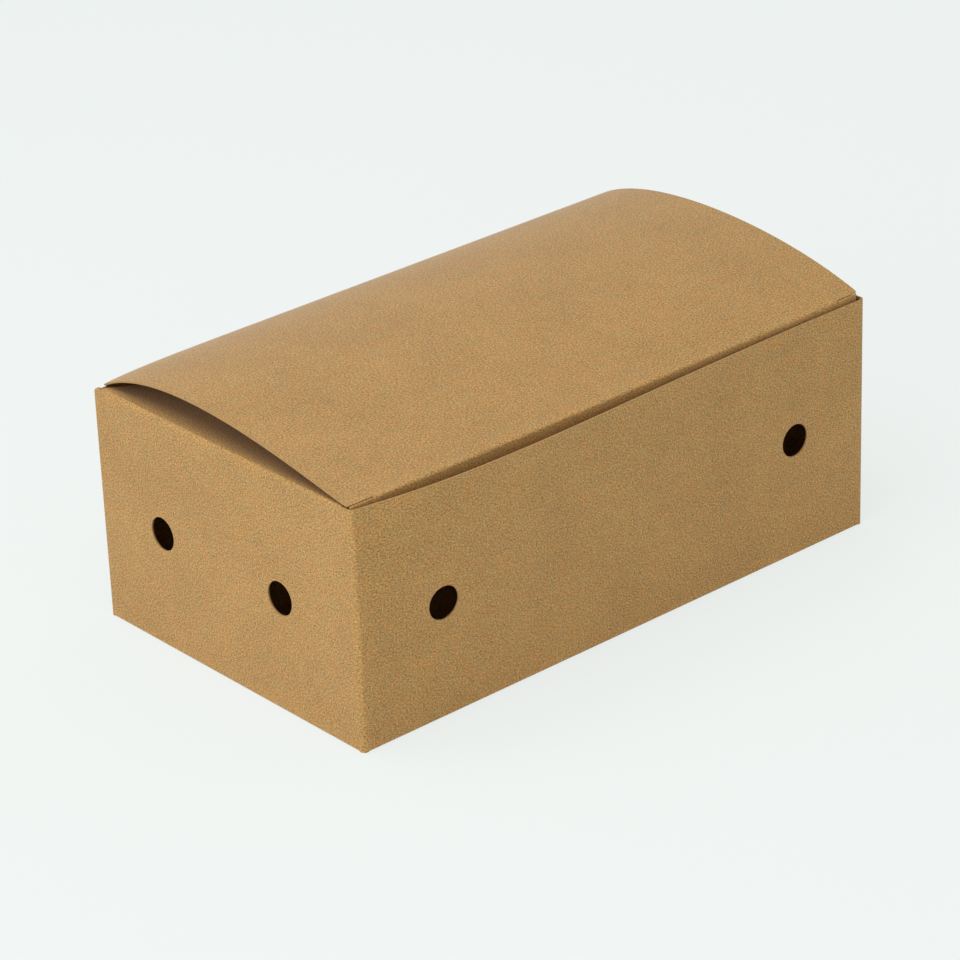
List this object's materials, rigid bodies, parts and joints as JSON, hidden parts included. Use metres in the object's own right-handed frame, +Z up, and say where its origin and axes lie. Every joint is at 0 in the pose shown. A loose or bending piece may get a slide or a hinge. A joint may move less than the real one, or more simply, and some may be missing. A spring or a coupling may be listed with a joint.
{
  "type": "lidded takeaway carton",
  "caption": "Folded kraft board carton with a hinged, bowed lid that tucks in behind the front wall, and round vent holes in its walls.",
  "frame": {"origin": "centre of the carton's footprint, on the underside of its floor", "axes": "+X along the front wall to the right, seen from the front; +Y from the front wall to the hinged back wall; +Z up"},
  "size_m": [0.205, 0.1244, 0.0891],
  "materials": {
    "kraft_board": "matte uncoated kraft board"
  },
  "bodies": {
    "tray": {"tray": "kraft_board"},
    "lid": {"lid": "kraft_board"}
  },
  "joints": [
    {"name": "lid_hinge", "type": "hinge", "parent": "tray", "child": "lid", "pos_m": [0, 0.06, 0.077], "axis": [-1, 0, 0], "range_deg": [0, 175]}
  ]
}
